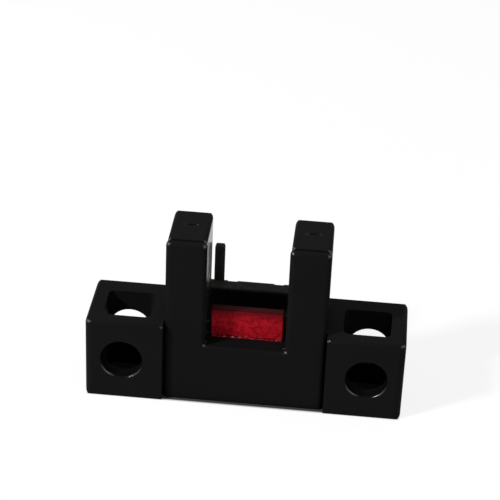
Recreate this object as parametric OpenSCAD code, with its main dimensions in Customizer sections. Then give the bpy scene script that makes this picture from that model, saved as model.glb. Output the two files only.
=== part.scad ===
// Photoelectric fork sensor with two mounting flanges and a plug socket at the back.
// X runs across the fork, +Y to the back and +Z up the arms. The base lies on z = 0, and the
// origin is in the middle of the flanges' width and depth.

/* [Body] */
// Overall width across both flanges
body_w = 24.7; // [24.5:0.1:26]
// Depth of the flanges, front to back
body_d = 6.4; // [6.4:0.1:7.2]
// Height of the flanges
flange_h = 6.8; // [6.7:0.05:7.2]
// Height of the arms above the base
fork_h = 14; // [13.8:0.1:16]
// How far the arms' backs lie in front of the flanges' backs
arm_setback = 0.6; // [0.5:0.05:0.6]
// Clear width between the arms, for whatever is sensed
gap_w = 6.2; // [6:0.1:6.8]
// Width of one arm across its front plate
arm_w = 3.15; // [3:0.05:3.4]

/* [Mounting holes] */
// Distance between the round holes through the flanges' fronts
hole_pitch = 19; // [18.8:0.1:19.2]
// Diameter of the round holes
hole_d = 3.3; // [2.8:0.1:3.4]
// Height of the round holes' centres
hole_z = 3.5; // [3.2:0.05:3.6]
// Distance between the upright slots through the flanges
slot_pitch = 18.6; // [18.4:0.1:19]
// Width of a slot, across the body
slot_w = 3.7; // [3.4:0.1:3.8]
// Depth of a slot, front to back
slot_d = 3.6; // [3.2:0.1:3.8]

/* [Front cover] */
// How far the cover's face lies behind the flanges' faces
face_setback = 0.5; // [0.4:0.05:0.6]
// Thickness of the cover plate
cover_t = 0.6; // [0.5:0.05:0.6]
// How far the cover's top edge stops below the arms' tops
cover_drop = 0.1; // [0.1:0.05:0.4]
// How far the cover's bottom edge lies above the base
cover_lift = 0.05; // [0:0.05:0.3]

/* [Indicator] */
// Height of the shelf that the lens stands on
shelf_z = 5; // [4.9:0.05:5.1]
// Width of the lens
lens_w = 5.6; // [5:0.1:5.8]
// Height of the lens
lens_h = 2.4; // [2.2:0.1:2.6]
// Thickness of the lens, front to back
lens_t = 0.8; // [0.7:0.05:0.9]

/* [Plug socket] */
// Height of the socket's rim
socket_h = 5.4; // [5.2:0.1:5.6]
// How far the socket stands out behind the flanges
socket_d = 3.9; // [3.8:0.1:4.4]
// Spacing of the contact pins
pin_pitch = 2; // [1.8:0.1:2]
// Thickness of a contact pin
pin_w = 0.5; // [0.4:0.05:0.55]
// Height of the guide post's top
post_top = 10.6; // [9:0.1:12]

/* [Hidden] */
$fn = 48;

// A cut starts and ends this far outside what it cuts
past = 1;

// Planes from front to back: flange faces, cover's face, the seat behind the cover, the arms'
// backs and the flanges' backs
front_y = -body_d / 2;
face_y = front_y + face_setback;
seat_y = face_y + cover_t;
rear_y = body_d / 2;
arm_rear_y = rear_y - arm_setback;

// The slots' middles lie a little in front of the flanges' middle
slot_y = -0.2;

// The cover plate stands a little proud of the arms that it closes
seam = 0.07;
gap_half = gap_w / 2;
fork_half = gap_half + arm_w;
arm_in = gap_half + seam;
arm_out = fork_half - seam;

// Edge radii of the mouldings
edge_r = 0.2;
corner_r = 0.35;
upright_r = 0.6;
arm_top_r = 0.35;
arm_rear_r = 0.7;
slot_r = 0.5;
cover_r = 0.4;
cover_top_r = 0.2;

// Wall thicknesses and the hollow that they leave; a channel between the arms has the roof as its floor
base_wall = 0.9;
rear_wall = 0.7;
roof_wall = 0.5;
shelf_wall = 0.8;
arm_inner_wall = 0.5;
arm_outer_wall = 0.55;
arm_cap = 0.7;
channel_z = flange_h - 0.6;
hollow_in = arm_in + arm_inner_wall;
hollow_out = arm_out - arm_outer_wall;
hollow_rear_y = arm_rear_y - rear_wall;
hollow_top_z = fork_h - arm_cap;
roof_under_z = channel_z - roof_wall;
shelf_under_z = shelf_z - shelf_wall;

// Windows in the arms' inner walls, each backed by a narrow slit
window_size = [1.8, 3.2];
window_t = 0.3;
window_r = 0.3;
slit_size = [0.6, 2];

// Lens, the cheeks beside it and the port that its lamp shines through
lens_back_y = front_y + 3;
lens_face_y = lens_back_y - lens_t;
cheek_y = lens_face_y + 0.3;
lens_edge_r = 0.1;
lens_lip = [0.15, 0.14];
lens_lip_r = 0.05;
pocket_back_wall = 0.5;
port_half = 1.2;
port_bottom_z = shelf_z + 0.2;
port_top_z = roof_under_z - 0.1;
port_fit = 0.05;

// Rear moulding: a plug in the housing's rear opening, a lipped head between the arms and the socket
plug_half = 4.8;
plug_top_z = 5.2;
head_z = flange_h + 0.8;
head_r = 0.15;
lip_t = 0.25;
lip_reach = 0.6;
lip_slope = 0.35;
groove_y = hollow_rear_y + lip_reach;
socket_half = 5.1;
socket_wall = 0.8;
socket_floor_z = 2.4;
socket_edge_r = 0.3;
well_front_y = rear_y + 0.4;
well_rear_y = rear_y + socket_d - socket_wall;
well_half = socket_half - socket_wall;
key_slot_x = 1.9;
key_slot_w = 0.8;
key_slot_z = 3.3;
post_x = -2.7;
post_w = 0.8;
post_d = 0.8;
post_r = 0.3;

// Contact pins: each runs back from the board, then turns up into the socket
pin_y = (well_front_y + well_rear_y) / 2;
pin_z = 1.95;
pin_top_z = 4.7;
pin_tip = 0.35;
pin_proud = 0.3;

// Circuit board and what stands on its front face
board_t = 0.8;
board_half = hollow_out - 0.1;
board_rear_y = hollow_rear_y;
board_face_y = board_rear_y - board_t;
board_ear_in = hollow_in + 0.15;
board_ear_z = 12.8;
board_r = 0.2;
opto_x = (hollow_in + hollow_out) / 2;
opto_size = [1.2, 1.6, 2.2];
opto_bump_r = 0.5;
opto_bump_sink = 0.15;
opto_foot = [1, 0.4, 0.2];

// Light beam across the gap, and the marks above it on the arms' tops
beam_y = board_face_y - opto_size[1] / 2;
beam_z = fork_h - 2.7;
mark_x = (arm_in + arm_out) / 2;
mark_size = [1, 0.26];
mark_depth = 0.15;

// Chips on the board's face, each a size in x, y and z and a place in x and z
led_size = [1.6, 0.6, 0.5];
amplifier_size = [1.6, 0.6, 1.1];
amplifier_at = [2.1, 5];
capacitor_size = [1.6, 0.7, 0.8];
capacitor_at = [-2.1, 5.1];
diode_size = [1.25, 0.9, 1.7];
diode_at = [4.65, 2.6];
resistor_size = [1, 0.35, 0.5];
resistors_at = [[-4.65, 1.5], [-4.65, 2.4], [-4.65, 3.3], [4.65, 4.6]];
transistor_size = [2, 0.9, 1.25];
transistor_at = [2, 3.3];
transistor_lift = 0.05;
leg_size = [0.3, 0.15, 0.45];
leg_x = 0.65;

black = "#1b1c1e";
smoked = "#17121a";
metal = "#c9c7c0";
chip_black = "#26272a";

// Outline helpers

// Rectangle from corner a to corner b with every corner rounded to r
module round_rect(a, b, r) {
    translate([a[0] + r, a[1]])
        square([b[0] - a[0] - 2 * r, b[1] - a[1]]);
    translate([a[0], a[1] + r])
        square([b[0] - a[0], b[1] - a[1] - 2 * r]);
    for (x = [a[0] + r, b[0] - r], y = [a[1] + r, b[1] - r])
        translate([x, y])
            circle(r);
}

// Draws an (x, z) outline and gives it depth from y0 to y1
module along_y(y0, y1) {
    translate([0, y1, 0])
        rotate([90, 0, 0])
            linear_extrude(y1 - y0)
                children();
}

// Draws a (y, z) outline and gives it width from x0 to x1
module along_x(x0, x1) {
    translate([x0, 0, 0])
        rotate([90, 0, 90])
            linear_extrude(x1 - x0)
                children();
}

// Plain box from corner a to corner b
module box(a, b) {
    translate(a)
        cube(b - a);
}

// Box from corner a to corner b; its edges along X, Y and Z have the radii in r
module round_box(a, b, r) {
    intersection() {
        along_x(a[0], b[0])
            round_rect([a[1], a[2]], [b[1], b[2]], r[0]);
        along_y(a[1], b[1])
            round_rect([a[0], a[2]], [b[0], b[2]], r[1]);
        translate([0, 0, a[2]])
            linear_extrude(b[2] - a[2])
                round_rect([a[0], a[1]], [b[0], b[1]], r[2]);
    }
}

// Repeats what is drawn on the right on the left
module both_sides() {
    children();
    mirror([1, 0, 0])
        children();
}

// Housing

// Outside of the case: one bar for both flanges, with the two arms standing on it
module case_blank() {
    round_box([-body_w / 2, front_y, 0], [body_w / 2, rear_y, flange_h], [edge_r, corner_r, upright_r]);
    both_sides()
        round_box([arm_in, front_y, 0], [arm_out, arm_rear_y, fork_h], [arm_top_r, arm_top_r, arm_rear_r]);
}

// The front of the fork is cut back to the plane that the cover lies on
module cover_seat() {
    half = fork_half + seam;
    box([-half, front_y - past, -past], [half, seat_y, fork_h + past]);
}

// Round holes from front to back, crossed by upright slots for screws from above
module mounting_holes() {
    both_sides() {
        translate([hole_pitch / 2, 0, hole_z])
            rotate([90, 0, 0])
                cylinder(d = hole_d, h = body_d + 2 * past, center = true);
        translate([slot_pitch / 2, slot_y, -past])
            linear_extrude(flange_h + 2 * past)
                round_rect([-slot_w / 2, -slot_d / 2], [slot_w / 2, slot_d / 2], slot_r);
    }
}

// Space for the board: low in the middle, and up inside each arm
module hollow() {
    pocket_rear_y = lens_back_y + pocket_back_wall;
    box([-hollow_out, seat_y - past, base_wall], [hollow_out, hollow_rear_y, shelf_under_z]);
    box([-hollow_out, pocket_rear_y, base_wall], [hollow_out, hollow_rear_y, roof_under_z]);
    both_sides()
        box([hollow_in, seat_y - past, base_wall], [hollow_out, hollow_rear_y, hollow_top_z]);
}

// Pocket that shows the lens: wide in front of the cheeks, lens-wide between them, with a light port
// and an open channel behind
module lens_pocket() {
    box([-arm_in, seat_y - past, shelf_z], [arm_in, cheek_y, flange_h + past]);
    box([-arm_in, cheek_y - past / 2, channel_z], [arm_in, rear_y, flange_h + past]);
    box([-lens_w / 2, seat_y - past, shelf_z], [lens_w / 2, lens_back_y, flange_h + past]);
    box(
        [-port_half, lens_back_y - past / 2, port_bottom_z],
        [port_half, lens_back_y + pocket_back_wall + past / 2, port_top_z]
    );
}

// Opening in the back, filled by the rear moulding
module rear_opening() {
    box([-plug_half, hollow_rear_y - past / 2, base_wall], [plug_half, rear_y + past, plug_top_z]);
    box([-arm_in, groove_y, plug_top_z - past / 2], [arm_in, rear_y + past, flange_h + past]);
}

// Recess for the right-hand window and the slit behind it
module window_cut() {
    along_x(arm_in - past, arm_in + window_t)
        window_outline();
    box(
        [arm_in, beam_y - slit_size[0] / 2, beam_z - slit_size[1] / 2],
        [hollow_in + past / 2, beam_y + slit_size[0] / 2, beam_z + slit_size[1] / 2]
    );
}

module window_outline() {
    round_rect([beam_y, beam_z] - window_size / 2, [beam_y, beam_z] + window_size / 2, window_r);
}

// Short dash sunk in the right arm's top, over the light beam
module beam_mark() {
    translate([mark_x, beam_y, fork_h - mark_depth])
        linear_extrude(mark_depth + past)
            round_rect(-mark_size / 2, mark_size / 2, mark_size[1] / 3);
}

module housing() {
    color(black)
        difference() {
            case_blank();
            cover_seat();
            mounting_holes();
            hollow();
            lens_pocket();
            rear_opening();
            both_sides() {
                window_cut();
                beam_mark();
            }
        }
}

// Front cover

// Low rim on the cover's back that finds its place inside one hollow
module locating_rim(a, b) {
    clear = 0.12;
    rim_w = 0.4;
    rim_h = 0.4;
    along_y(seat_y, seat_y + rim_h)
        difference() {
            translate(a + [clear, clear])
                square(b - a - 2 * [clear, clear]);
            translate(a + (clear + rim_w) * [1, 1])
                square(b - a - 2 * (clear + rim_w) * [1, 1]);
        }
}

// Plate in the shape of a U, rounded along its front edges and cut square at the bottom and the seat
module cover_plate() {
    radii = [cover_top_r, arm_top_r, cover_r];
    intersection() {
        union() {
            round_box([-fork_half, face_y, -past], [fork_half, seat_y + past, shelf_z], radii);
            both_sides()
                round_box([gap_half, face_y, -past], [fork_half, seat_y + past, fork_h - cover_drop], radii);
        }
        box([-fork_half, face_y, cover_lift], [fork_half, seat_y, fork_h]);
    }
}

module front_cover() {
    color(black) {
        cover_plate();
        locating_rim([-hollow_out, base_wall], [hollow_out, shelf_under_z]);
        both_sides()
            locating_rim([hollow_in, shelf_under_z + past], [hollow_out, hollow_top_z]);
    }
}

// Indicator lens

module indicator_lens() {
    half = lens_w / 2;
    color("#a3101f") {
        round_box(
            [-half, lens_face_y, shelf_z],
            [half, lens_back_y, shelf_z + lens_h],
            [lens_edge_r, lens_edge_r, lens_edge_r]
        );
        round_box(
            [-half, lens_face_y - lens_lip[0], shelf_z],
            [half, lens_back_y, shelf_z + lens_lip[1]],
            [lens_lip_r, lens_lip_r, lens_edge_r]
        );
        box(
            [-port_half + port_fit, lens_back_y - lens_t / 2, port_bottom_z + port_fit],
            [port_half - port_fit, lens_back_y + pocket_back_wall - 0.2, port_top_z - port_fit]
        );
    }
}

// Rear moulding with the plug socket

// Guide post that steers the plug down onto its pins
module guide_post() {
    round_box(
        [post_x - post_w / 2, rear_y, socket_floor_z - past],
        [post_x + post_w / 2, rear_y + post_d, post_top],
        [post_r, post_r, post_r]
    );
}

// Head across the channel's back, in (y, z): a rounded bar with a lip that overhangs the channel
module head_outline() {
    lip_under_z = head_z - lip_t;
    difference() {
        round_rect([hollow_rear_y, plug_top_z - past], [rear_y, head_z], head_r);
        translate([hollow_rear_y - past, plug_top_z - 2 * past])
            square([body_d, 2 * past]);
        polygon([
            [hollow_rear_y - past, plug_top_z - past],
            [groove_y, plug_top_z - past],
            [groove_y, lip_under_z - lip_slope],
            [hollow_rear_y, lip_under_z],
            [hollow_rear_y - past, lip_under_z]
        ]);
    }
}

// Outside of the socket, cut square where it meets the housing's back
module socket_blank() {
    difference() {
        round_box(
            [-socket_half, rear_y - past, 0],
            [socket_half, rear_y + socket_d, socket_h],
            [socket_edge_r, socket_edge_r, arm_rear_r]
        );
        box([-socket_half - past, rear_y - 2 * past, -past], [socket_half + past, rear_y, socket_h + past]);
    }
}

// Well for the plug, with two key slots in its back wall
module socket_well() {
    translate([0, 0, socket_floor_z])
        linear_extrude(socket_h)
            round_rect([-well_half, well_front_y], [well_half, well_rear_y], socket_edge_r);
    both_sides()
        box(
            [key_slot_x - key_slot_w / 2, well_rear_y - past / 2, key_slot_z],
            [key_slot_x + key_slot_w / 2, well_rear_y + socket_wall + past, socket_h + past]
        );
}

module terminal_block() {
    color(black)
        difference() {
            union() {
                difference() {
                    socket_blank();
                    socket_well();
                }
                guide_post();
                box([-plug_half, hollow_rear_y, base_wall], [plug_half, rear_y, plug_top_z]);
                along_x(-arm_in, arm_in)
                    head_outline();
            }
            for (i = [0 : 3])
                pin_body(i);
        }
}

// Windows, drawn for the right arm

module slit_window() {
    along_x(arm_in, arm_in + window_t)
        window_outline();
}

module emitter_window() {
    color(smoked)
        mirror([1, 0, 0])
            slit_window();
}

module receiver_window() {
    color(smoked)
        slit_window();
}

// Circuit board and its parts

module circuit_board() {
    ear_mid = (hollow_in + board_half) / 2;
    color("#2f6b3a")
        difference() {
            along_y(board_face_y, board_rear_y) {
                translate([-board_half, base_wall])
                    square([2 * board_half, roof_under_z - base_wall]);
                for (side = [-1, 1])
                    translate([side * ear_mid, 0])
                        round_rect(
                            [board_ear_in - ear_mid, base_wall],
                            [board_half - ear_mid, board_ear_z],
                            board_r
                        );
            }
            for (i = [0 : 3])
                pin_body(i);
        }
}

// Chip of the given size on the board's face, centred at [x, z] and lifted off the face
module chip(size, at, lift = 0) {
    box(
        [at[0] - size[0] / 2, board_face_y - lift - size[1], at[1] - size[2] / 2],
        [at[0] + size[0] / 2, board_face_y - lift, at[1] + size[2] / 2]
    );
}

// Side-looking package on the right ear, with a lens bump towards the gap and a foot at each end
module opto_package() {
    chip(opto_size, [opto_x, beam_z]);
    translate([opto_x - opto_size[0] / 2 + opto_bump_sink, beam_y, beam_z])
        sphere(opto_bump_r);
    for (end = [-1, 1])
        chip(opto_foot, [opto_x, beam_z + end * (opto_size[2] + opto_foot[2]) / 2]);
}

module infrared_emitter() {
    color("#b9c2d6")
        mirror([1, 0, 0])
            opto_package();
}

module light_receiver() {
    color("#2a2230")
        opto_package();
}

module indicator_led() {
    color("#e8e2d2")
        chip(led_size, [0, (port_bottom_z + port_top_z) / 2]);
}

module amplifier_ic() {
    color(chip_black)
        chip(amplifier_size, amplifier_at);
}

// Three-leg transistor: a moulded body lifted off the board, with bent feet below and above
module transistor(at) {
    riser = [leg_size[0], transistor_size[1] / 2, leg_size[1]];
    chip(transistor_size, at, transistor_lift);
    for (leg = [[-leg_x, -1], [leg_x, -1], [0, 1]]) {
        chip(leg_size, at + [leg[0], leg[1] * (transistor_size[2] + leg_size[2]) / 2]);
        chip(riser, at + [leg[0], leg[1] * (transistor_size[2] + riser[2]) / 2]);
    }
}

module light_on_transistor() {
    color(chip_black)
        transistor([-transistor_at[0], transistor_at[1]]);
}

module dark_on_transistor() {
    color(chip_black)
        transistor(transistor_at);
}

module polarity_diode() {
    color(chip_black)
        chip(diode_size, diode_at);
}

module bypass_capacitor() {
    color("#b89a6a")
        chip(capacitor_size, capacitor_at);
}

module chip_resistors() {
    color("#2d2d33")
        for (at = resistors_at)
            chip(resistor_size, at);
}

// Contact pins, numbered from the left

function pin_x(i) = (i - 1.5) * pin_pitch;

// Bent square pin with a tapered tip
module pin_body(i) {
    half = pin_w / 2;
    tip_half = half - pin_tip / 2;
    intersection() {
        along_x(pin_x(i) - half, pin_x(i) + half)
            polygon([
                [board_face_y - pin_proud, pin_z - half],
                [pin_y + half, pin_z - half],
                [pin_y + half, pin_top_z - pin_tip],
                [pin_y + tip_half, pin_top_z],
                [pin_y - tip_half, pin_top_z],
                [pin_y - half, pin_top_z - pin_tip],
                [pin_y - half, pin_z + half],
                [board_face_y - pin_proud, pin_z + half]
            ]);
        along_y(0, rear_y + socket_d)
            translate([pin_x(i), 0])
                polygon([
                    [-half, 0],
                    [half, 0],
                    [half, pin_top_z - pin_tip],
                    [tip_half, pin_top_z],
                    [-tip_half, pin_top_z],
                    [-half, pin_top_z - pin_tip]
                ]);
    }
}

module supply_terminal() {
    color(metal)
        pin_body(0);
}

module light_on_terminal() {
    color(metal)
        pin_body(1);
}

module dark_on_terminal() {
    color(metal)
        pin_body(2);
}

module ground_terminal() {
    color(metal)
        pin_body(3);
}

housing();
front_cover();
terminal_block();
indicator_lens();
emitter_window();
receiver_window();
circuit_board();
infrared_emitter();
light_receiver();
indicator_led();
amplifier_ic();
light_on_transistor();
dark_on_transistor();
polarity_diode();
bypass_capacitor();
chip_resistors();
supply_terminal();
light_on_terminal();
dark_on_terminal();
ground_terminal();
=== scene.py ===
# %% [markdown]
# # A fork sensor, dressed for its portrait
#
# A fork sensor is a small black U. One arm sends a beam of infrared light across the gap, the
# other arm receives it, and whatever passes between them is noticed. The solids already exist:
# they come from a CAD model in the same place and at the same size. This lesson gives those
# solids the soft edges, plastics and light that make them look like a moulded product.
#
# The CAD model is loaded first and measured. Nothing may grow past that box, so it is kept and
# compared with the finished model at the end.

# %% Load the solids
import math

import bmesh
import bpy
from mathutils import Matrix, Vector


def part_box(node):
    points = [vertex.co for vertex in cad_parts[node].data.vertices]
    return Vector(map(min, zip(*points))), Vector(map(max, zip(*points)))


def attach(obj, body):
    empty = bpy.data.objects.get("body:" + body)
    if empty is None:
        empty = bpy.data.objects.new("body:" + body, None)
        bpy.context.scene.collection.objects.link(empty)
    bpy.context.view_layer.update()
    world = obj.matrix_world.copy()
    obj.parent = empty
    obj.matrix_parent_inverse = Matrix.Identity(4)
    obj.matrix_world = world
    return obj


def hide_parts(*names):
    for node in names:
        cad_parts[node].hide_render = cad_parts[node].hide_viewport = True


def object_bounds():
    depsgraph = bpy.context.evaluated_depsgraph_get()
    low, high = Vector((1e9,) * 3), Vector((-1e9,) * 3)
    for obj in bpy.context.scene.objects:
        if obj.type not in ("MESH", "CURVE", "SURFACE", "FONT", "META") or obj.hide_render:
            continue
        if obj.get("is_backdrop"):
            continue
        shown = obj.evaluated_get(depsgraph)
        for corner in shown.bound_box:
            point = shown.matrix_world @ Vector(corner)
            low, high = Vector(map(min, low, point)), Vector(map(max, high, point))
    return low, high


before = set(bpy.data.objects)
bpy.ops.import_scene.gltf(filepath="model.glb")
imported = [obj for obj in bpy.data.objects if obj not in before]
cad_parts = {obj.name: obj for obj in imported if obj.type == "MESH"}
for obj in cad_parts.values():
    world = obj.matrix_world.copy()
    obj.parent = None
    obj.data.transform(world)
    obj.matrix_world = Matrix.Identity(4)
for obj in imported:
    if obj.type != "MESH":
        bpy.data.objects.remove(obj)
cad_low, cad_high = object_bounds()
MM = 0.001
size_mm = [round(v / MM, 2) for v in cad_high - cad_low]
print("nodes:", len(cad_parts), "overall size in mm:", size_mm)

# %% [markdown]
# ## The camera
#
# A camera can be placed by eye, but small errors in height or lens then make every edge run the
# wrong way. These values were found by fitting: there is only one place from which the outlines
# of the solids line up with those in the photograph. The lens is long, because a product this
# small is photographed from well back. The photograph is also turned by two and a half degrees,
# which the roll copies.

# %% Place the camera
IMAGE_PX = 500
FOCAL_PX = 1800.4
SENSOR_MM = 36.0
NEAREST_MM = 1.0
YAW = math.radians(-4.114)
PITCH = math.radians(29.807)
ROLL = math.radians(2.507)
EYE_MM = Vector((8.44, -118.74, 80.54))

ahead = Vector((math.sin(YAW) * math.cos(PITCH), math.cos(YAW) * math.cos(PITCH),
                -math.sin(PITCH)))
level_right = Vector((math.cos(YAW), -math.sin(YAW), 0))
level_up = level_right.cross(ahead)
right = math.cos(ROLL) * level_right + math.sin(ROLL) * level_up
up = math.cos(ROLL) * level_up - math.sin(ROLL) * level_right
turn = Matrix((right, up, -ahead)).transposed().to_4x4()

camera = bpy.data.objects.new("camera", bpy.data.cameras.new("camera"))
camera.data.sensor_width = SENSOR_MM
camera.data.lens = FOCAL_PX / IMAGE_PX * SENSOR_MM
camera.data.clip_start = NEAREST_MM * MM
camera.matrix_world = Matrix.Translation(EYE_MM * MM) @ turn
bpy.context.scene.collection.objects.link(camera)
bpy.context.scene.camera = camera
bpy.context.scene.view_settings.view_transform = "Standard"
print("lens in mm:", round(camera.data.lens, 1), "distance in mm:", round(EYE_MM.length, 1))

# %% [markdown]
# ## Two helpers for materials
#
# Colours are picked as sRGB hex values, as a paint program shows them, but Blender's sockets hold
# linear light. One function converts them. A second function adds a shader node: it takes the
# node's own settings as keywords, and a dictionary of inputs. An input is a plain value, a socket
# to link, or a node, which stands for its first output. Everything below is written with these
# two.

# %% Colour and node helpers
def linear(hex_colour):
    """sRGB hex text, such as "#1b1c1e", as the linear RGBA that a colour socket takes."""
    channels = [int(hex_colour[i:i + 2], 16) / 255 for i in (1, 3, 5)]
    return [c / 12.92 if c <= 0.04045 else ((c + 0.055) / 1.055) ** 2.4 for c in channels] + [1.0]


def add_node(tree, kind, inputs=None, **settings):
    """Adds one shader node, sets its properties, then fills or links its inputs."""
    node = tree.nodes.new("ShaderNode" + kind)
    for name, value in settings.items():
        setattr(node, name, value)
    for name, value in (inputs or {}).items():
        if isinstance(value, bpy.types.Node):
            value = value.outputs[0]
        if isinstance(value, bpy.types.NodeSocket):
            tree.links.new(value, node.inputs[name])
        else:
            node.inputs[name].default_value = value
    return node


print("black plastic in linear light:", [round(c, 4) for c in linear("#141416")])

# %% [markdown]
# ## The world
#
# The object stands on a plain white sweep. A background that is bright enough to look white would
# also throw too much light at a black object, so brightness and light are kept apart: the Light
# Path node tells which rays see the background. Rays from the camera, and mirror or glass rays,
# see plain white. All other rays see a softer white, which lights the object.

# %% Build the world
BACKGROUND = linear("#ffffff")
AMBIENT = 0.32


def background_rays(tree):
    """1 for rays that look at the background: from the camera, from gloss and through glass."""
    path = add_node(tree, "LightPath")
    seen = path.outputs["Is Camera Ray"]
    for ray in ("Is Glossy Ray", "Is Transmission Ray"):
        seen = add_node(tree, "Math", {0: seen, 1: path.outputs[ray]}, operation="MAXIMUM")
    return seen


world = bpy.data.worlds.new("white_studio")
world.use_nodes = True
tree = world.node_tree
tree.nodes.clear()
strength = add_node(tree, "MapRange", {
    "Value": background_rays(tree), "To Min": AMBIENT, "To Max": 1.0})
sky = add_node(tree, "Background", {"Color": BACKGROUND, "Strength": strength})
add_node(tree, "OutputWorld", {"Surface": sky})
bpy.context.scene.world = world
print("world lights with", AMBIENT, "and shows 1.0")

# %% [markdown]
# ## The floor
#
# The sweep is matt paper. It is treated like the world, with some real shading mixed into its
# white, so the object's shadow stays. Right under the object the paper is painted dark, a painted
# shadow for the place where hardly any light gets. The slots and holes look down on that patch.

# %% Shade the paper
FLOOR_SHADE = 0.16
# painted shadow: the paper's tone right under the case
UNDER_SHADOW_TONE = 0.05
UNDER_BORDER_MM = 0.3
PAPER_FIBRE_MM = 2.0
PAPER_TONE = (0.88, 0.92)

sweep_paper = bpy.data.materials.new("white_sweep_paper")
sweep_paper.use_nodes = True
tree = sweep_paper.node_tree
tree.nodes.clear()
place = add_node(tree, "TexCoord").outputs["Object"]
at = add_node(tree, "SeparateXYZ", {0: place})
case_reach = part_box("housing")[1]
edges = []
for axis in (0, 1):
    away = add_node(tree, "Math", {0: at.outputs[axis]}, operation="ABSOLUTE")
    edges.append(add_node(tree, "MapRange", {
        "Value": away, "From Min": case_reach[axis] - UNDER_BORDER_MM * MM,
        "From Max": case_reach[axis]}))
outside = add_node(tree, "Math", {0: edges[0], 1: edges[1]}, operation="MAXIMUM")
fibre = add_node(tree, "TexNoise", {
    "Vector": place, "Scale": 1 / (PAPER_FIBRE_MM * MM), "Detail": 3.0})
paper_tone = add_node(tree, "MapRange", {
    "Value": fibre, "To Min": PAPER_TONE[0], "To Max": PAPER_TONE[1]})
# Painted shadow: under the case the paper's tone is painted dark.
painted_shadow_tone = add_node(tree, "MapRange", {"Value": outside, "To Min": UNDER_SHADOW_TONE, "To Max": 1.0})
tone = add_node(tree, "Math", {0: paper_tone, 1: painted_shadow_tone}, operation="MULTIPLY")
paper = add_node(tree, "BsdfDiffuse", {"Color": tone})
glow = add_node(tree, "Emission", {"Color": BACKGROUND, "Strength": 1.0})
white = add_node(tree, "Math", {0: background_rays(tree), 1: 1 - FLOOR_SHADE}, operation="MULTIPLY")
white_outside = add_node(tree, "Math", {0: white, 1: outside}, operation="MULTIPLY")
mixed = add_node(tree, "MixShader", {0: white_outside, 1: paper, 2: glow})
add_node(tree, "OutputMaterial", {"Surface": mixed})
print("paper keeps", FLOOR_SHADE, "of its shading")

# %% Lay the floor
FLOOR_M = 3.0
corners = [(x * FLOOR_M, y * FLOOR_M, cad_low.z) for x, y in ((-1, -1), (1, -1), (1, 1), (-1, 1))]
floor_mesh = bpy.data.meshes.new("floor")
floor_mesh.from_pydata(corners, [], [(0, 1, 2, 3)])
floor_mesh.materials.append(sweep_paper)
floor = bpy.data.objects.new("floor", floor_mesh)
bpy.context.scene.collection.objects.link(floor)
floor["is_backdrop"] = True
print("floor at z =", round(cad_low.z / MM, 3), "mm")

# %% [markdown]
# ## Lamps
#
# The photograph has soft, even light, with a few sharp glints: on corners where three faces meet,
# and low on the rims of the round holes. A glint sits where the surface is turned half-way between
# lamp and camera, so its place tells where the lamp stood. Here that is far out to the left, and
# the lamp is small, because its mirror image has to stay small too. A lamp in the middle would
# draw long bright lines along the upper edges instead.
#
# Two softboxes help. One on the right fills the other side and adds hardly any glint of its own.
# One above the back keeps the tops of the arms and the strip behind the lens a little lighter
# than the front.

# %% Set the lamps
AIM_MM = Vector((0, 0, 6))


def area_lamp(name, place_mm, side_mm, watts):
    """A square lamp at a place in mm, turned to face the middle of the object."""
    lamp = bpy.data.objects.new(name, bpy.data.lights.new(name, "AREA"))
    lamp.data.size = side_mm * MM
    lamp.data.energy = watts
    lamp.location = Vector(place_mm) * MM
    lamp.rotation_euler = (AIM_MM * MM - lamp.location).to_track_quat("-Z", "Y").to_euler()
    bpy.context.scene.collection.objects.link(lamp)
    return lamp


lamps = [area_lamp("left_glint_lamp", (-225, -155, 210), 40, 1.4),
         area_lamp("right_softbox", (205, -160, 225), 300, 0.3),
         area_lamp("top_softbox", (40, 140, 260), 220, 0.08)]
print("lamps in W:", {lamp.name: round(lamp.data.energy, 2) for lamp in lamps})

# %% [markdown]
# ## Softening the edges
#
# CAD edges are perfectly sharp, and a perfectly sharp edge catches no light. Real mouldings have
# small radii everywhere, because steel moulds are cut with round tools. A bevel modifier could
# do it, but it would round every facet of the CAD mesh, so the mesh has to be cleaned first and
# the bevel is made in mesh code as well.
#
# Each shape is copied into a new object, welded, and its flat areas are joined into single faces.
# The work is done in millimetres, because Blender's bevel is unsure of lengths far below one.
# Where bevels meet, two corners can fall on one spot. A second, much finer weld joins them, so
# that every mesh is closed.

# %% Edge helper
FLAT = math.radians(0.5)
SHARP = math.radians(28)
CREASE = math.radians(40)
WELD_MM = 0.0005
TWIN_MM = 0.00002


def soften(node, name, material, radius_mm):
    """Copies a CAD node, rounds its sharp edges by radius_mm, and lets the copy stand for it."""
    bm = bmesh.new()
    bm.from_mesh(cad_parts[node].data)
    bmesh.ops.scale(bm, vec=(1 / MM,) * 3, verts=bm.verts)
    bmesh.ops.remove_doubles(bm, verts=bm.verts, dist=WELD_MM)
    bmesh.ops.dissolve_limit(bm, angle_limit=FLAT, verts=bm.verts, edges=bm.edges)
    bm.normal_update()
    sharp = [e for e in bm.edges if len(e.link_faces) == 2 and e.calc_face_angle(0) > SHARP]
    bmesh.ops.bevel(bm, geom=sharp, offset=radius_mm, offset_type="OFFSET", segments=3,
                    profile=0.5, affect="EDGES", clamp_overlap=True)
    bmesh.ops.remove_doubles(bm, verts=bm.verts, dist=TWIN_MM)
    bmesh.ops.scale(bm, vec=(MM,) * 3, verts=bm.verts)
    mesh = bpy.data.meshes.new(name)
    bm.to_mesh(mesh)
    bm.free()
    mesh.shade_smooth()
    mesh.set_sharp_from_angle(angle=CREASE)
    mesh.materials.append(material)
    piece = bpy.data.objects.new(name, mesh)
    bpy.context.scene.collection.objects.link(piece)
    piece.modifiers.new("even_normals", "WEIGHTED_NORMAL").keep_sharp = True
    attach(piece, "root")
    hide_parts(node)
    print(f"{name}: {len(sharp)} edges rounded, {len(mesh.polygons)} faces")


print("edges sharper than", round(math.degrees(SHARP)), "degrees get a radius")

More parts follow.
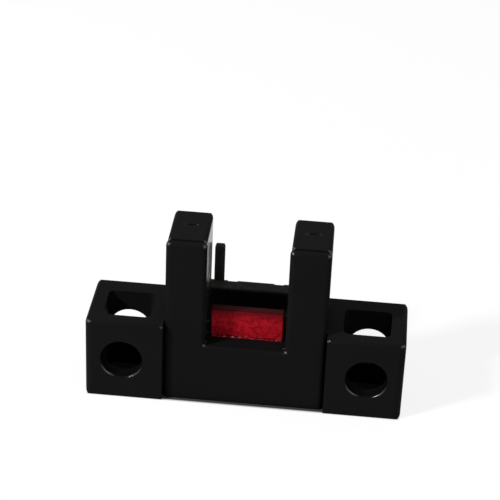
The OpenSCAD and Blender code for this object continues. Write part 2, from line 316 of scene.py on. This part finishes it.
# %% [markdown]
# ## Starting and finishing a material
#
# Every material below begins with an empty node tree and the object's own coordinates, in metres,
# so a pattern of 0.2 mm is 0.2 mm wherever the piece sits. It ends with one Principled shader.
#
# In between, colours are laid over each other like coats of paint, each through a mask. That
# deserves a helper, and so does the question of how far a point lies from a middle line, which
# finds tinned ends and legs.

# %% Material helpers
def start_material(name):
    """An empty node material, its tree and its object coordinates."""
    material = bpy.data.materials.new(name)
    material.use_nodes = True
    tree = material.node_tree
    tree.nodes.clear()
    return material, tree, add_node(tree, "TexCoord").outputs["Object"]


def finish_material(tree, values):
    """Ends a material with a Principled shader; plain numbers stay on the shader's sockets."""
    shader = add_node(tree, "BsdfPrincipled", values)
    add_node(tree, "OutputMaterial", {"Surface": shader})


def coats(tree, base, *layers):
    """The base colour with each layer, a mask and a colour, laid over it in turn."""
    for mask, colour in layers:
        inputs = {0: mask}
        for side, paint in ((6, base), (7, colour)):
            inputs[side] = linear(paint) if isinstance(paint, str) else paint
        base = add_node(tree, "Mix", inputs, data_type="RGBA").outputs[2]
    return base


print("pieces to dress:", len(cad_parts))

# %% Distance helpers
BORDER_MM = 0.02


def beyond(tree, coordinate, middle, reach):
    """1 where a coordinate lies further than reach from middle, both in mm, else 0."""
    shifted = add_node(tree, "Math", {0: coordinate, 1: middle * MM}, operation="SUBTRACT")
    away = add_node(tree, "Math", {0: shifted}, operation="ABSOLUTE")
    return add_node(tree, "MapRange", {
        "Value": away, "From Min": (reach - BORDER_MM) * MM, "From Max": (reach + BORDER_MM) * MM})


def middle_mm(node):
    """The middle of a CAD node's box, in mm."""
    low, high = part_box(node)
    return [(a + b) / 2 / MM for a, b in zip(low, high)]


print("middle of the lens in mm:", [round(v, 2) for v in middle_mm("indicator_lens")])

# %% [markdown]
# ## Where the plastic is worn
#
# Corners and the rims of the screw holes are rubbed smooth by handling, so they sparkle while the
# faces stay dark. Painting a mask by hand would work for one view only. The Bevel node finds the
# places by itself: it gives the normal that a worn edge would have at a point, and where that
# normal leans to two sides and upwards at once, the point lies on a corner.

# %% Worn corners
WORN_RADIUS_MM = 0.4
WORN_LEAN = (0.24, 0.36)


def worn_corners(tree):
    """The normal of a worn edge, and a mask that is 1 on corners that face upwards."""
    worn_normal = add_node(tree, "Bevel", {"Radius": WORN_RADIUS_MM * MM}, samples=8)
    lean = add_node(tree, "SeparateXYZ", {0: worn_normal})
    lean_x = add_node(tree, "Math", {0: lean.outputs["X"]}, operation="ABSOLUTE")
    lean_y = add_node(tree, "Math", {0: lean.outputs["Y"]}, operation="ABSOLUTE")
    sides = add_node(tree, "Math", {0: lean_x, 1: lean_y}, operation="MINIMUM")
    least = add_node(tree, "Math", {0: sides, 1: lean.outputs["Z"]}, operation="MINIMUM")
    return worn_normal, add_node(tree, "MapRange", {
        "Value": least, "From Min": WORN_LEAN[0], "From Max": WORN_LEAN[1]})


print("corners look worn to a radius of", WORN_RADIUS_MM, "mm")

# %% [markdown]
# ## Polished walls
#
# The two walls of the gap are polished, because vanes slide past them. Face on they are as black
# as the rest, but seen from the side they turn almost white. The mask takes faces that look along
# x, lie no further out than the slit covers, and stand above the foot of the red window.

# %% Gap walls
WALL_TURN = (0.95, 0.99)
WALL_BORDER_MM = 0.05
FOOT_FADE_MM = 0.1
gap_wall_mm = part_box("receiver_window")[0].x / MM
window_foot_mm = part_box("indicator_lens")[0].z / MM


def gap_walls(tree, at):
    """A mask that is 1 on the walls of the gap; at holds the separate coordinates."""
    facing = add_node(tree, "SeparateXYZ", {0: add_node(tree, "NewGeometry").outputs["Normal"]})
    turned = add_node(tree, "Math", {0: facing.outputs["X"]}, operation="ABSOLUTE")
    sideways = add_node(tree, "MapRange", {
        "Value": turned, "From Min": WALL_TURN[0], "From Max": WALL_TURN[1]})
    outside = beyond(tree, at.outputs["X"], 0, gap_wall_mm + WALL_BORDER_MM)
    in_gap = add_node(tree, "Math", {0: sideways, 1: outside}, operation="SUBTRACT", use_clamp=True)
    above_foot = add_node(tree, "MapRange", {
        "Value": at.outputs["Z"], "From Min": window_foot_mm * MM,
        "From Max": (window_foot_mm + FOOT_FADE_MM) * MM})
    return add_node(tree, "Math", {0: in_gap, 1: above_foot}, operation="MULTIPLY")


print("gap walls", round(gap_wall_mm, 2), "mm to each side of the middle")

# %% [markdown]
# ## Dull bores and slots
#
# The bores of the round holes are the other way round: the mould's pins left them dull, and their
# colour is painted darker than the face around them, a painted shade for the inside of a hole.
# Distance from the axis of a hole tells what lies in a bore, and a small step back from the face
# leaves the rim out.
#
# The upright slots have sharp corners too, but these lie back from where hands and tools rub. A
# second mask, a little larger than the slots, keeps their rims from looking worn.

# %% Screw bores
HOLE_X_MM, HOLE_Z_MM, HOLE_R_MM = 9.5, 3.5, 1.65
BORE_BORDER_MM = 0.03
HOLE_RIM_MM = (0.12, 0.25)
flange_front_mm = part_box("housing")[0].y / MM


def screw_bores(tree, at):
    """A mask that is 1 in the bores of both round holes; at holds the separate coordinates."""
    across = add_node(tree, "Math", {0: at.outputs["X"]}, operation="ABSOLUTE")
    in_plane = add_node(tree, "CombineXYZ", {0: across, 2: at.outputs["Z"]})
    from_axis = add_node(tree, "VectorMath", {
        0: in_plane, 1: (HOLE_X_MM * MM, 0, HOLE_Z_MM * MM)}, operation="DISTANCE")
    outside = beyond(tree, from_axis.outputs["Value"], 0, HOLE_R_MM + BORE_BORDER_MM)
    behind_rim = add_node(tree, "MapRange", {
        "Value": at.outputs["Y"], "From Min": (flange_front_mm + HOLE_RIM_MM[0]) * MM,
        "From Max": (flange_front_mm + HOLE_RIM_MM[1]) * MM})
    return add_node(tree, "Math", {0: behind_rim, 1: outside}, operation="SUBTRACT", use_clamp=True)


print("round holes", 2 * HOLE_X_MM, "mm apart,", 2 * HOLE_R_MM, "mm wide")

# %% Slot rims
SLOT_X_MM, SLOT_Y_MM = 9.3, -0.2
SLOT_HALF_MM = (1.85, 1.8)
SLOT_RIM_MM = 0.4


def slot_rims(tree, at):
    """A mask that is 1 in and around both upright slots; at holds the separate coordinates."""
    across = add_node(tree, "Math", {0: at.outputs["X"]}, operation="ABSOLUTE")
    beside = beyond(tree, across.outputs[0], SLOT_X_MM, SLOT_HALF_MM[0] + SLOT_RIM_MM)
    before = beyond(tree, at.outputs["Y"], SLOT_Y_MM, SLOT_HALF_MM[1] + SLOT_RIM_MM)
    away = add_node(tree, "Math", {0: beside, 1: before}, operation="MAXIMUM")
    return add_node(tree, "Math", {0: 1.0, 1: away}, operation="SUBTRACT")


print("slots", 2 * SLOT_X_MM, "mm apart,", 2 * SLOT_HALF_MM[0], "x", 2 * SLOT_HALF_MM[1], "mm")

# %% [markdown]
# ## Black polyester
#
# Sensor cases are moulded in PBT, a tough polyester. It is black all through, and its surface
# copies the mould, which was spark-eroded to a fine satin grain. To the eye that means a deep
# black that is never quite even and has hardly any mirror. A thin coat of gloss comes through
# only where the plastic is worn or polished, and the coat takes the worn edge's normal.
#
# The grain of such a mould is 0.03 to 0.05 mm wide, less than a pixel here, so it is drawn two
# or three times as coarse to show at all.

# %% Moulded black polyester
CLOUD_MM = 4.0
# BORE_SHADE_BLACK is painted shade for the bores of the round holes; WORN_BLACK is the paler wear.
BORE_SHADE_BLACK, WORN_BLACK = "#060606", "#242424"
SATIN_SPREAD = 0.08
RUBBED_SMOOTH = 0.25


def black_polyester(name, deep, grain_mm, grain_depth_mm, rough):
    """Moulded black polyester: cloudy black, satin grain, glossy where it is worn or polished."""
    material, tree, place = start_material(name)
    at = add_node(tree, "SeparateXYZ", {0: place})
    worn_normal, corner = worn_corners(tree)
    bores = screw_bores(tree, at)
    cloud = add_node(tree, "TexNoise", {
        "Vector": place, "Scale": 1 / (CLOUD_MM * MM), "Detail": 3.0})
    grain = add_node(tree, "TexNoise", {
        "Vector": place, "Scale": 1 / (grain_mm * MM), "Detail": 2.0})
    unworn = add_node(tree, "Math", {0: bores, 1: slot_rims(tree, at)}, operation="MAXIMUM")
    worn = add_node(tree, "Math", {0: corner, 1: unworn}, operation="SUBTRACT", use_clamp=True)
    rubbed = add_node(tree, "Math", {0: worn, 1: cloud}, operation="MULTIPLY")
    body = coats(tree, deep[0], (cloud, deep[1]))
    satin = add_node(tree, "MapRange", {
        "Value": grain, "To Min": rough - SATIN_SPREAD, "To Max": rough + SATIN_SPREAD})
    smoother = add_node(tree, "Math", {0: rubbed, 1: -RUBBED_SMOOTH, 2: satin},
                        operation="MULTIPLY_ADD")
    glossy = add_node(tree, "Math", {0: worn, 1: gap_walls(tree, at)}, operation="MAXIMUM")
    # The bores' near-black colour is painted shade.
    finish_material(tree, {
        "Base Color": coats(tree, deep[0], (grain, body), (rubbed, WORN_BLACK),
                            (bores, BORE_SHADE_BLACK)),
        "Roughness": smoother, "IOR": 1.55, "Specular IOR Level": 0.012,
        "Normal": add_node(tree, "Bump", {"Height": grain, "Distance": grain_depth_mm * MM}),
        "Coat Weight": glossy, "Coat Roughness": 0.25, "Coat IOR": 1.55,
        "Coat Normal": worn_normal})
    return material


print("polyester clouds", CLOUD_MM, "mm wide")

# %% [markdown]
# ## The case
#
# The case is the moulded U with its two flanges. Its long outer edges are round in the CAD model
# already. What is left sharp are the rims of holes, slots and pockets, and those get no more
# than a trace of a radius: a bevel can't cut deeper than the shortest edge that it meets allows,
# and the CAD roundings have very short ones. The material's worn edges do the rest.

# %% Dress the case
case_polyester = black_polyester("moulded_black_polyester", ("#0d0d0d", "#151515"),
                                 grain_mm=0.12, grain_depth_mm=0.006, rough=0.6)
soften("housing", "moulded_case", case_polyester, radius_mm=0.08)

# %% [markdown]
# ## The front plate
#
# A U-shaped plate closes the case from the front. It is moulded in the same polyester, but its
# mould was polished finer, because this is the side that people see. So it gets a grain that is
# finer and shallower. Its corners at the top of each arm are worn like those of the case.

# %% Dress the front plate
plate_polyester = black_polyester("fine_black_polyester", ("#0d0d0d", "#131313"),
                                  grain_mm=0.09, grain_depth_mm=0.003, rough=0.55)
soften("front_cover", "front_plate", plate_polyester, radius_mm=0.06)

# %% [markdown]
# ## The socket moulding
#
# The rear moulding has to hold four pins steady, so its polyester is filled with short glass
# fibres. Low down it is simply a dry black. Its top is painted a dark grey, a painted highlight
# where the light falls on it, and there the fibres come through as paler flecks that all lie
# roughly one way. They are 0.01 mm thick and up to 0.4 mm long. Here they are drawn at 0.06 mm,
# because the real ones would vanish between two pixels.

# %% Dress the socket moulding
FIBRE_MM = (0.3, 0.06, 0.06)
FIBRE_TURN = (0.2, 0.3, 0.15)
FLECK_LEVEL = (0.56, 0.68)
DRY_CLOUD_MM = 1.5
LIT_TOP_FADE_MM = 0.1

glass_filled, tree, place = start_material("glass_filled_black_polyester")
at = add_node(tree, "SeparateXYZ", {0: place})
along = add_node(tree, "Mapping", {
    "Vector": place, "Scale": [1 / (f * MM) for f in FIBRE_MM], "Rotation": FIBRE_TURN})
fibre = add_node(tree, "TexNoise", {"Vector": along, "Scale": 1.0, "Detail": 1.0})
fleck = add_node(tree, "MapRange", {
    "Value": fibre, "From Min": FLECK_LEVEL[0], "From Max": FLECK_LEVEL[1]})
cloud = add_node(tree, "TexNoise", {
    "Vector": place, "Scale": 1 / (DRY_CLOUD_MM * MM), "Detail": 4.0})
# Painted highlight: the top of the moulding, above the red window, is painted lighter.
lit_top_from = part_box("indicator_lens")[1].z + LIT_TOP_FADE_MM * MM
rubbed = add_node(tree, "MapRange", {
    "Value": at.outputs["Z"], "From Min": lit_top_from,
    "From Max": lit_top_from + LIT_TOP_FADE_MM * MM})
lit_top_fleck = add_node(tree, "Math", {0: fleck, 1: rubbed}, operation="MULTIPLY")
# The dark grey on the top is a painted highlight; the fibre flecks show only there.
finish_material(tree, {
    "Base Color": coats(tree, "#0d0d0d", (cloud, "#161616"), (rubbed, "#1d1d1c"),
                        (lit_top_fleck, "#33322f")),
    "Roughness": add_node(tree, "MapRange", {"Value": fibre, "To Min": 0.75, "To Max": 0.55}),
    "Normal": add_node(tree, "Bump", {"Height": fibre, "Distance": 0.01 * MM}),
    "IOR": 1.57, "Specular IOR Level": 0.03})
soften("terminal_block", "socket_moulding", glass_filled, radius_mm=0.07)

# %% [markdown]
# ## The red window
#
# The lens over the lamp is moulded in red polycarbonate. Unlit it is not clear like glass: it
# is thick with dye, so light enters a little way and comes back red. Its front is frosted to
# spread the lamp's light, which shows as small mottles and leaves hardly any mirror. The red is
# painted darker towards the top as painted shade, and the top face, which looks into the dark
# channel behind, is painted darker still. Along the foot a broken line of pale specks is painted
# on as a highlight, where the frost catches the light.
#
# Real subsurface scattering alone would give the red, but not this painted shade and highlight,
# so height and facing are read from the surface and steer the colour.

# %% Find the parts of the red window
FROST_MM, FADE_MM, FOOT_MM = 0.22, 0.9, (0.22, 0.1)
MOTTLE_LEVEL, GLINT_SPECK_LEVEL = (0.35, 0.65), (0.56, 0.68)
TOP_TURN = (0.4, 0.8)

red_polycarbonate, tree, place = start_material("dyed_red_polycarbonate")
lens_low, lens_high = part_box("indicator_lens")
at = add_node(tree, "SeparateXYZ", {0: place})
facing = add_node(tree, "SeparateXYZ", {0: add_node(tree, "NewGeometry").outputs["Normal"]})
frost = add_node(tree, "TexNoise", {
    "Vector": place, "Scale": 1 / (FROST_MM * MM), "Detail": 4.0, "Roughness": 0.7})
mottle = add_node(tree, "MapRange", {
    "Value": frost, "From Min": MOTTLE_LEVEL[0], "From Max": MOTTLE_LEVEL[1]})
# Painted shade: the red is painted darker towards the top, and darker still on the top face.
red_shade_near_top = add_node(tree, "MapRange", {
    "Value": at.outputs["Z"], "From Min": lens_high.z - FADE_MM * MM, "From Max": lens_high.z})
red_shade_on_top = add_node(tree, "MapRange", {
    "Value": facing.outputs["Z"], "From Min": TOP_TURN[0], "From Max": TOP_TURN[1]})
# Painted highlight: a broken line of pale specks along the foot of the window.
at_foot = add_node(tree, "MapRange", {
    "Value": at.outputs["Z"], "From Min": lens_low.z + FOOT_MM[0] * MM,
    "From Max": lens_low.z + FOOT_MM[1] * MM})
glint_speck = add_node(tree, "MapRange", {
    "Value": frost, "From Min": GLINT_SPECK_LEVEL[0], "From Max": GLINT_SPECK_LEVEL[1]})
painted_foot_glint = add_node(tree, "Math", {0: at_foot, 1: glint_speck}, operation="MULTIPLY")
print("red window:", [round(v / MM, 2) for v in lens_high - lens_low], "mm")

# %% Dress the red window
# The darker reds are painted shade, and the pale foot specks a painted highlight.
finish_material(tree, {
    "Base Color": coats(tree, "#5f0810", (mottle, "#a3141f"), (red_shade_near_top, "#560910"),
                        (red_shade_on_top, "#30080c"), (painted_foot_glint, "#b8747c")),
    "Normal": add_node(tree, "Bump", {"Height": frost, "Distance": 0.01 * MM}),
    "Roughness": 0.35, "IOR": 1.58, "Specular IOR Level": 0.01,
    "Subsurface Weight": 0.2, "Subsurface Scale": 0.3 * MM, "Subsurface Radius": (1.0, 0.12, 0.1)})
soften("indicator_lens", "red_window", red_polycarbonate, radius_mm=0.05)

# %% [markdown]
# ## The slit covers
#
# A dark window in each arm's inner wall lets infrared light through and keeps dust out. The
# polycarbonate is dyed so that it looks black with a hint of violet, and it is polished, because
# a rough window would scatter the beam. Flow lines from moulding bend its reflections slightly.

# %% Dress the slit covers
FLOW_MM = 1.2

dark_polycarbonate, tree, place = start_material("polished_dark_polycarbonate")
flow = add_node(tree, "TexNoise", {
    "Vector": place, "Scale": 1 / (FLOW_MM * MM), "Detail": 2.0, "Distortion": 1.5})
finish_material(tree, {
    "Base Color": coats(tree, "#0e0b11", (flow, "#1b121f")),
    "Roughness": add_node(tree, "MapRange", {"Value": flow, "To Min": 0.16, "To Max": 0.26}),
    "Normal": add_node(tree, "Bump", {"Height": flow, "Distance": 0.004 * MM}),
    "IOR": 1.58, "Specular IOR Level": 0.3})
for side in ("emitter", "receiver"):
    soften(f"{side}_window", f"{side}_slit_cover", dark_polycarbonate,
           radius_mm=0.04)

# %% [markdown]
# ## The contact pins
#
# Each pin is cut from square brass wire that was tinned before it was cut and bent. So its sides
# are grey, satin and finely lined along the wire, and only the cut tip shows yellow brass. The
# drawing lines are about 0.01 mm apart; they are drawn at 0.05 mm so that they show.

# %% Dress the contact pins
DRAWN_MM = (0.05, 0.6, 0.6)
TIP_MM = (0.2, 0.08)

tinned_brass, tree, place = start_material("drawn_tinned_brass")
pin_low, pin_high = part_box("supply_terminal")
at = add_node(tree, "SeparateXYZ", {0: place})
wire = add_node(tree, "Mapping", {"Vector": place, "Scale": [1 / (s * MM) for s in DRAWN_MM]})
drawn = add_node(tree, "TexNoise", {"Vector": wire, "Scale": 1.0, "Detail": 2.0})
tip = add_node(tree, "MapRange", {
    "Value": at.outputs["Z"], "From Min": pin_high.z - TIP_MM[0] * MM,
    "From Max": pin_high.z - TIP_MM[1] * MM})
finish_material(tree, {
    "Base Color": coats(tree, "#b4b1a9", (drawn, "#d6d4cd"), (tip, "#c9a452")), "Metallic": 1.0,
    "Roughness": add_node(tree, "MapRange", {"Value": drawn, "To Min": 0.22, "To Max": 0.42}),
    "Normal": add_node(tree, "Bump", {"Height": drawn, "Distance": 0.003 * MM})})
for use in ("supply", "light_on", "dark_on", "ground"):
    soften(f"{use}_terminal", f"{use}_pin", tinned_brass, radius_mm=0.03)

# %% [markdown]
# ## The circuit board
#
# The board is glass cloth in epoxy, covered on both faces by green lacquer, the solder mask. Three
# things show: the weave of the cloth as a faint grid 0.4 mm wide, copper tracks as paler lines
# under the lacquer, and bare tinned rings where the pins are soldered. Around its rim, where it
# was cut from a larger panel, the straw-coloured cloth and resin are bare.

# %% Weave the board and lay its tracks
WEAVE_MM, TRACK_MM = 0.4, 0.8
RIM_TURN = 0.6

solder_mask, tree, place = start_material("lacquered_glass_epoxy")
at = add_node(tree, "SeparateXYZ", {0: place})
weave = add_node(tree, "TexChecker", {"Vector": place, "Scale": 1 / (WEAVE_MM * MM)})
face = add_node(tree, "CombineXYZ", {0: at.outputs["X"], 1: at.outputs["Z"]})
tracks = add_node(tree, "TexBrick", {
    "Vector": face, "Scale": 1 / (TRACK_MM * MM), "Mortar Size": 0.12, "Mortar Smooth": 0.2,
    "Brick Width": 1.9, "Row Height": 0.9}, offset=0.35)
facing = add_node(tree, "SeparateXYZ", {0: add_node(tree, "NewGeometry").outputs["Normal"]})
flat = add_node(tree, "Math", {0: facing.outputs["Y"]}, operation="ABSOLUTE")
on_rim = add_node(tree, "Math", {0: flat, 1: RIM_TURN}, operation="LESS_THAN")
print("board weave", WEAVE_MM, "mm, tracks", TRACK_MM, "mm apart")

# %% Tin the board's pads
PAD_MM = 0.42
pitch_mm = middle_mm("light_on_terminal")[0] - middle_mm("supply_terminal")[0]
row_z_mm = pin_low.z / MM + (pin_high.x - pin_low.x) / 2 / MM

in_row = add_node(tree, "Math", {0: at.outputs["X"], 1: pitch_mm * MM / 2}, operation="SUBTRACT")
to_pin = add_node(tree, "Math", {0: in_row, 1: pitch_mm * MM / 2}, operation="PINGPONG")
to_row = add_node(tree, "Math", {0: at.outputs["Z"], 1: row_z_mm * MM}, operation="SUBTRACT")
from_pin = add_node(tree, "CombineXYZ", {0: to_pin, 1: to_row})
reach = add_node(tree, "VectorMath", {0: from_pin}, operation="LENGTH")
pad = add_node(tree, "Math", {0: reach.outputs["Value"], 1: PAD_MM * MM}, operation="LESS_THAN")
finish_material(tree, {
    "Base Color": coats(tree, "#1f5a33", (weave.outputs["Fac"], "#235f38"),
                        (tracks.outputs["Fac"], "#3c8350"), (on_rim, "#b3a26a"), (pad, "#c4c2ba")),
    "Metallic": pad, "Roughness": 0.4, "IOR": 1.5, "Specular IOR Level": 0.3,
    "Normal": add_node(tree, "Bump", {"Height": tracks.outputs["Fac"], "Distance": 0.02 * MM})})
soften("circuit_board", "printed_board", solder_mask, radius_mm=0.03)
print("pads every", round(pitch_mm, 2), "mm at z", round(row_z_mm, 2), "mm")

# %% [markdown]
# ## Resins and tin
#
# The small parts on the board are all a body with tinned ends: resin, ceramic or glaze in the
# middle, and solder-bright metal where they meet the board. One function makes them. It takes a
# recipe for the body and a mask that is 1 on the tinned ends, and lets the mask switch colour
# and metal together. Most ends lie to both sides of the part's middle, so a second function
# makes such a mask from the axis, the part and half the length of its body.

# %% Small part helpers
TIN = ("#aeaca6", "#cfcdc8")


def tinned_part(name, body, ends, surface, grain_mm, grain_depth_mm):
    """A moulded or fired body with tinned ends; ends(tree, at) gives the mask for the tin."""
    material, tree, place = start_material(name)
    grain = add_node(tree, "TexNoise", {
        "Vector": place, "Scale": 1 / (grain_mm * MM), "Detail": 3.0})
    tinned = ends(tree, add_node(tree, "SeparateXYZ", {0: place}))
    tin = coats(tree, TIN[0], (grain, TIN[1]))
    finish_material(tree, {
        "Base Color": coats(tree, body[0], (grain, body[1]), (tinned, tin)), "Metallic": tinned,
        "Normal": add_node(tree, "Bump", {"Height": grain, "Distance": grain_depth_mm * MM}),
        **surface})
    return material


def ends_along(axis, node, half_mm):
    """A mask maker for ends further than half_mm from a node's middle, along X, Y or Z."""
    middle = middle_mm(node)["XYZ".index(axis)]
    return lambda tree, at: beyond(tree, at.outputs[axis], middle, half_mm)


print("tin runs from", TIN[0], "to", TIN[1])

# %% [markdown]
# ## Emitter and receiver
#
# The two packages that face each other across the gap are cast in epoxy. The emitter's is water
# clear with a faint blue, and the receiver's is dyed dark, so that it ignores room light. Both
# stand on tinned feet above and below.

# %% Dress the emitter and the receiver
opto_feet = ends_along("Z", "infrared_emitter", half_mm=1.1)
clear_epoxy = tinned_part("cast_clear_epoxy", ("#9fb0c6", "#c3cedd"), opto_feet,
                          {"Roughness": 0.12, "IOR": 1.54, "Transmission Weight": 0.6},
                          grain_mm=0.6, grain_depth_mm=0.004)
dark_epoxy = tinned_part("cast_dark_epoxy", ("#17121b", "#241c2a"), opto_feet,
                         {"Roughness": 0.15, "IOR": 1.54}, grain_mm=0.6, grain_depth_mm=0.004)
soften("infrared_emitter", "emitter_package", clear_epoxy, radius_mm=0.05)
soften("light_receiver", "receiver_package", dark_epoxy, radius_mm=0.05)

# %% [markdown]
# ## The lamp
#
# The chip lamp behind the red window is a block of milky epoxy between two plated ends. Milky
# resin glows a little where light enters it, which subsurface scattering gives.

# %% Dress the lamp
milky_epoxy = tinned_part("milky_cast_epoxy", ("#d9d2bf", "#ece6d8"),
                          ends_along("X", "indicator_led", half_mm=0.55),
                          {"Roughness": 0.3, "IOR": 1.54, "Subsurface Weight": 0.3,
                           "Subsurface Scale": 0.2 * MM}, grain_mm=0.25, grain_depth_mm=0.004)
soften("indicator_led", "lamp_chip", milky_epoxy, radius_mm=0.04)

# %% [markdown]
# ## Chips in black epoxy
#
# The amplifier, both transistors and the diode are moulded in black epoxy filled with fine sand,
# so they are a dull grey-black and feel like slate. Metal shows in different places: along two
# sides of the amplifier, on the transistors' bent legs, and at both ends of the diode.

# %% Dress the amplifier
LEAD_PITCH_MM = 0.43
amplifier_sides = ends_along("X", "amplifier_ic", half_mm=0.66)


def sandy_epoxy(name, ends):
    """Black moulding epoxy with its grain of sand."""
    return tinned_part(name, ("#1c1c1e", "#2c2c2f"), ends,
                       {"Roughness": 0.7, "IOR": 1.55, "Specular IOR Level": 0.2},
                       grain_mm=0.08, grain_depth_mm=0.006)


def amplifier_leads(tree, at):
    """A mask for a row of leads on both sides: half of each pitch is tin."""
    rows = add_node(tree, "Math", {0: at.outputs["Z"], 1: LEAD_PITCH_MM / 2 * MM},
                    operation="PINGPONG")
    lead = add_node(tree, "Math", {0: rows, 1: LEAD_PITCH_MM / 4 * MM}, operation="LESS_THAN")
    return add_node(tree, "Math", {0: amplifier_sides(tree, at), 1: lead}, operation="MULTIPLY")


amplifier_epoxy = sandy_epoxy("sand_filled_epoxy_amplifier", amplifier_leads)
soften("amplifier_ic", "amplifier_chip", amplifier_epoxy, radius_mm=0.04)

# %% Dress the transistors and the diode
transistor_epoxy = sandy_epoxy("sand_filled_epoxy_transistor",
                               ends_along("Z", "dark_on_transistor", half_mm=0.63))
for use in ("light_on", "dark_on"):
    soften(f"{use}_transistor", f"{use}_switch", transistor_epoxy, radius_mm=0.03)
diode_epoxy = sandy_epoxy("sand_filled_epoxy_diode",
                          ends_along("Z", "polarity_diode", half_mm=0.68))
soften("polarity_diode", "polarity_guard", diode_epoxy, radius_mm=0.04)

# %% [markdown]
# ## Capacitor and resistors
#
# The capacitor is a stack of fired ceramic sheets, tan and matt. The resistors are a film on a
# white ceramic chip under black glaze. Both have caps of tin at their ends. The resistors lie in
# two columns at equal distances from the middle, so one mask on the size of x serves all four.

# %% Dress the capacitor
fired_ceramic = tinned_part("fired_tan_ceramic", ("#a98a57", "#bf9f6b"),
                            ends_along("X", "bypass_capacitor", half_mm=0.5),
                            {"Roughness": 0.55, "IOR": 1.6, "Specular IOR Level": 0.3},
                            grain_mm=0.12, grain_depth_mm=0.005)
soften("bypass_capacitor", "capacitor_chip", fired_ceramic, radius_mm=0.06)

# %% Dress the resistors
RESISTOR_HALF_MM, GLAZE_HALF_MM = 0.5, 0.32
column_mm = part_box("chip_resistors")[1].x / MM - RESISTOR_HALF_MM


def resistor_ends(tree, at):
    """A mask for the tin caps of the resistors in both columns."""
    from_middle = add_node(tree, "Math", {0: at.outputs["X"]}, operation="ABSOLUTE")
    return beyond(tree, from_middle.outputs[0], column_mm, GLAZE_HALF_MM)


glazed_film = tinned_part("glazed_film_resistor", ("#1b1b20", "#2a2a30"), resistor_ends,
                          {"Roughness": 0.25, "IOR": 1.52}, grain_mm=0.2, grain_depth_mm=0.003)
soften("chip_resistors", "resistor_chips", glazed_film, radius_mm=0.03)
print("resistor columns at x =", round(column_mm, 2), "mm on both sides")

# %% [markdown]
# ## Measure and finish
#
# The visual model's box is measured and compared with the CAD model's box, and how far it grows
# past it is printed. The visual model must stay inside the CAD model's box.

# %% Finish
low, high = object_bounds()
growth = [max(a - b, c - d) / MM for a, b, c, d in zip(cad_low, low, high, cad_high)]
print("growth past the CAD box in mm:", [round(v, 3) for v in growth])
